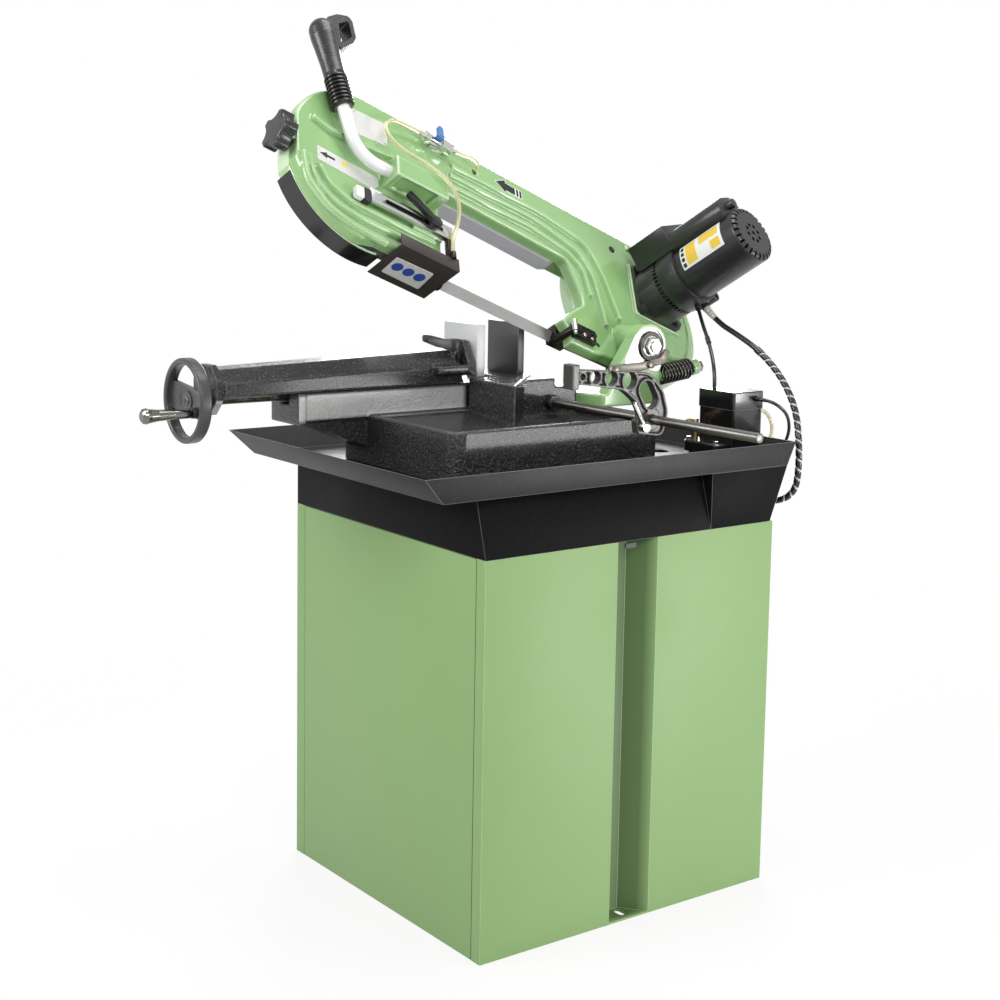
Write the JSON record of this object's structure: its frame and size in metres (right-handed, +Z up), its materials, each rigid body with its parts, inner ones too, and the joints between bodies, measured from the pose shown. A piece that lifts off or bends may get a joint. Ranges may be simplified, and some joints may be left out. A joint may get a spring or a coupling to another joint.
{
  "type": "metal cutting band saw",
  "caption": "Horizontal metal cutting band saw with a swivelling, hinged bow, hand wheel vise, coolant pump and stop rod on a sheet cabinet stand.",
  "frame": {"origin": "centre of the cabinet's foot on the floor, midway between the two floor anchor slots", "axes": "+Z up, -Y to the operator and the hand wheel, +X to the outfeed side with the stop rod"},
  "size_m": [0.875, 1.1886, 1.5328],
  "materials": {
    "cabinet_green": "satin",
    "bow_green": "satin paint",
    "black_paint": "textured",
    "black_cast": "gloss paint",
    "grey_cast": "satin paint",
    "swivel_green": "satin paint",
    "steel": "ground",
    "dark_steel": "oiled",
    "blade_steel": "rolled",
    "wheel_iron": "machined",
    "motor_black": "satin paint",
    "black_plastic": "matte",
    "black_rubber": "matte",
    "clear_tube": "clear",
    "chrome": "bright",
    "brass": "satin",
    "blue_plastic": "gloss"
  },
  "bodies": {
    "stand": {"cabinet_shell": "cabinet_green", "front_panel": "cabinet_green", "plinth_frame": "black_paint", "drip_tray": "black_paint", "coolant_tank": "black_paint", "base_casting": "black_cast", "base_bolts": "dark_steel", "fixed_jaw": "grey_cast", "vise_nut": "brass", "swivel_pin": "steel", "stop_rod": "steel", "pump_box": "black_plastic", "pump_fitting": "brass", "cable_glands": "black_plastic", "main_cable": "black_rubber", "pump_hose": "black_rubber", "pump_cable": "black_rubber", "drain_tube": "clear_tube"},
    "vise": {"vise_carriage": "black_cast", "moving_jaw": "grey_cast"},
    "vise_spindle": {"vise_screw": "steel", "hand_wheel": "grey_cast"},
    "wheel_grip": {"wheel_grip": "steel"},
    "vise_lever": {"vise_lever": "black_paint"},
    "swivel": {"swivel_arm": "swivel_green", "hinge_bearings": "dark_steel", "limit_lever": "dark_steel"},
    "bow": {"bow_casting": "bow_green", "hinge_shaft": "steel", "hinge_nut": "steel", "wheel_cover": "bow_green", "blade_channel": "black_plastic", "saw_blade": "blade_steel", "gearbox": "motor_black", "motor_shell": "motor_black", "motor_cap": "black_plastic", "terminal_box": "black_plastic", "handle_tube": "steel", "handle_boot": "black_rubber", "grip_shell": "black_plastic", "rear_guide": "dark_steel", "guide_stud": "dark_steel", "valve_body": "chrome", "valve_hose": "clear_tube", "nozzle_hose": "clear_tube", "return_spring": "dark_steel", "spring_bolt": "dark_steel"},
    "drive_wheel": {"drive_wheel": "wheel_iron"},
    "motor_rotor": {"motor_rotor": "dark_steel"},
    "idler_slide": {"idler_slide": "dark_steel"},
    "idler_wheel": {"idler_wheel": "wheel_iron"},
    "tension_knob": {"tension_knob": "black_plastic"},
    "guide_arm": {"guide_bar": "steel", "front_guide": "dark_steel", "blade_guard": "black_paint"},
    "guide_lever": {"guide_lever": "black_plastic"},
    "trigger": {"trigger": "black_plastic"},
    "valve_lever": {"valve_lever": "blue_plastic"},
    "stop": {"stop_arm": "grey_cast"},
    "stop_lever": {"stop_lever": "steel"}
  },
  "joints": [
    {"name": "vise_slide", "type": "slide", "parent": "stand", "child": "vise", "axis": [0, 1, 0], "range_m": [-0.06, 0.065]},
    {"name": "vise_screw_turn", "type": "hinge", "parent": "vise", "child": "vise_spindle", "pos_m": [-0.116, -0.5, 0.886], "axis": [0, 1, 0], "range_deg": [-4321, 4681]},
    {"name": "grip_spin", "type": "hinge", "parent": "vise_spindle", "child": "wheel_grip", "pos_m": [-0.082, -0.65, 0.87], "axis": [0, 1, 0], "continuous": true},
    {"name": "vise_lever_turn", "type": "hinge", "parent": "vise", "child": "vise_lever", "pos_m": [-0.084, -0.117, 0.958], "axis": [0, 0, 1], "range_deg": [-35, 35]},
    {"name": "swivel_turn", "type": "hinge", "parent": "stand", "child": "swivel", "pos_m": [-0.03, 0.012, 0.86], "axis": [0, 0, 1], "range_deg": [0, 45], "deforming": ["main_cable", "pump_hose"]},
    {"name": "bow_lift", "type": "hinge", "parent": "swivel", "child": "bow", "pos_m": [0, 0.2268, 0.9549], "axis": [-1, 0, 0], "range_deg": [-22.4, 22], "deforming": ["main_cable", "pump_hose", "return_spring"]},
    {"name": "drive_spin", "type": "hinge", "parent": "bow", "child": "drive_wheel", "pos_m": [-0.10743, 0.29969, 0.99266], "axis": [0.8192, 0.2186, 0.5303], "continuous": true},
    {"name": "rotor_spin", "type": "hinge", "parent": "bow", "child": "motor_rotor", "pos_m": [0.0346, 0.39687, 1.11035], "axis": [0.8192, 0.2186, 0.5303], "continuous": true},
    {"name": "idler_tension", "type": "slide", "parent": "bow", "child": "idler_slide", "axis": [0, 0.9245, -0.3811], "range_m": [0, 0.012]},
    {"name": "idler_spin", "type": "hinge", "parent": "idler_slide", "child": "idler_wheel", "pos_m": [-0.10743, -0.31144, 1.24455], "axis": [0.8192, 0.2186, 0.5303], "continuous": true},
    {"name": "knob_turn", "type": "hinge", "parent": "bow", "child": "tension_knob", "pos_m": [-0.08818, -0.46532, 1.32255], "axis": [0, -0.9245, 0.3811], "range_deg": [-1, 2161]},
    {"name": "guide_slide", "type": "slide", "parent": "bow", "child": "guide_arm", "axis": [0, 0.9245, -0.3811], "range_m": [-0.01, 0.1], "deforming": ["nozzle_hose"]},
    {"name": "guide_lever_turn", "type": "hinge", "parent": "bow", "child": "guide_lever", "pos_m": [-0.02575, -0.20803, 1.17004], "axis": [0.8192, 0.2186, 0.5303], "range_deg": [0, 40]},
    {"name": "trigger_press", "type": "slide", "parent": "bow", "child": "trigger", "axis": [0, -0.9245, 0.3811], "range_m": [0, 0.006], "stiffness_N_per_m": 300, "springref_m": -0.002},
    {"name": "valve_turn", "type": "hinge", "parent": "bow", "child": "valve_lever", "pos_m": [-0.12965, -0.12051, 1.32464], "axis": [0.8192, 0.2186, 0.5303], "range_deg": [0, 90]},
    {"name": "stop_slide", "type": "slide", "parent": "stand", "child": "stop", "axis": [1, 0, 0], "range_m": [-0.08, 0.23]},
    {"name": "stop_lever_turn", "type": "hinge", "parent": "stop", "child": "stop_lever", "pos_m": [0.277, 0.008, 0.849], "axis": [1, 0, 0], "range_deg": [-25, 25]}
  ],
  "couplings": [
    {"joint": "vise_screw_turn", "follows": "vise_slide", "rad_per_m": 1256.6},
    {"joint": "knob_turn", "follows": "idler_tension", "rad_per_m": 3141.6},
    {"joint": "idler_spin", "follows": "drive_spin", "ratio": 1},
    {"joint": "rotor_spin", "follows": "drive_spin", "ratio": 24}
  ]
}
